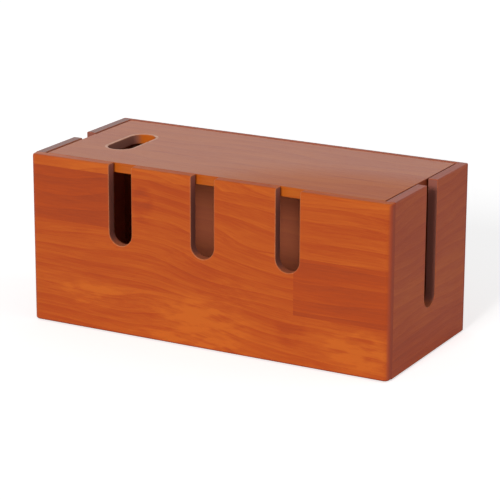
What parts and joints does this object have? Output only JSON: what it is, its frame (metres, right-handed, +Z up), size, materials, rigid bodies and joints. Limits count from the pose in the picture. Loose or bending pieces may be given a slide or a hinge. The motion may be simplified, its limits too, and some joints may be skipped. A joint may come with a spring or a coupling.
{
  "type": "cable management box",
  "caption": "Wooden box that hides a power strip, with slots for leads open at the top of its front and ends, and an inset lid that lifts off by an oblong finger hole.",
  "frame": {"origin": "centre of the box's footprint, on the surface that its foot pads stand on", "axes": "+X along the box to the right seen from the slotted front, which faces -Y; +Z up"},
  "size_m": [0.355, 0.16, 0.156],
  "materials": {
    "stained_wood": "orange-brown stain under a satin lacquer on edge-glued solid wood",
    "bottom_wood": "stained plywood, thin satin lacquer",
    "block_wood": "stained solid wood, matt",
    "dowel_wood": "bare beech",
    "screw_steel": "bronzed steel",
    "pin_steel": "bright drawn steel",
    "pad_rubber": "matt dark rubber"
  },
  "bodies": {
    "box": {"front_panel": "stained_wood", "back_panel": "stained_wood", "left_end_panel": "stained_wood", "right_end_panel": "stained_wood", "bottom_panel": "bottom_wood", "front_left_corner_block": "block_wood", "front_right_corner_block": "block_wood", "back_left_corner_block": "block_wood", "back_right_corner_block": "block_wood", "front_left_dowels": "dowel_wood", "front_right_dowels": "dowel_wood", "back_left_screws": "screw_steel", "back_right_screws": "screw_steel", "front_left_block_pins": "pin_steel", "front_right_block_pins": "pin_steel", "back_left_block_pins": "pin_steel", "back_right_block_pins": "pin_steel", "front_left_foot_pad": "pad_rubber", "front_right_foot_pad": "pad_rubber", "back_left_foot_pad": "pad_rubber", "back_right_foot_pad": "pad_rubber"},
    "lid": {"lid": "stained_wood"}
  },
  "joints": [
    {"name": "lid_lift", "type": "slide", "parent": "box", "child": "lid", "axis": [0, 0, 1], "range_m": [0, 0.08]}
  ]
}
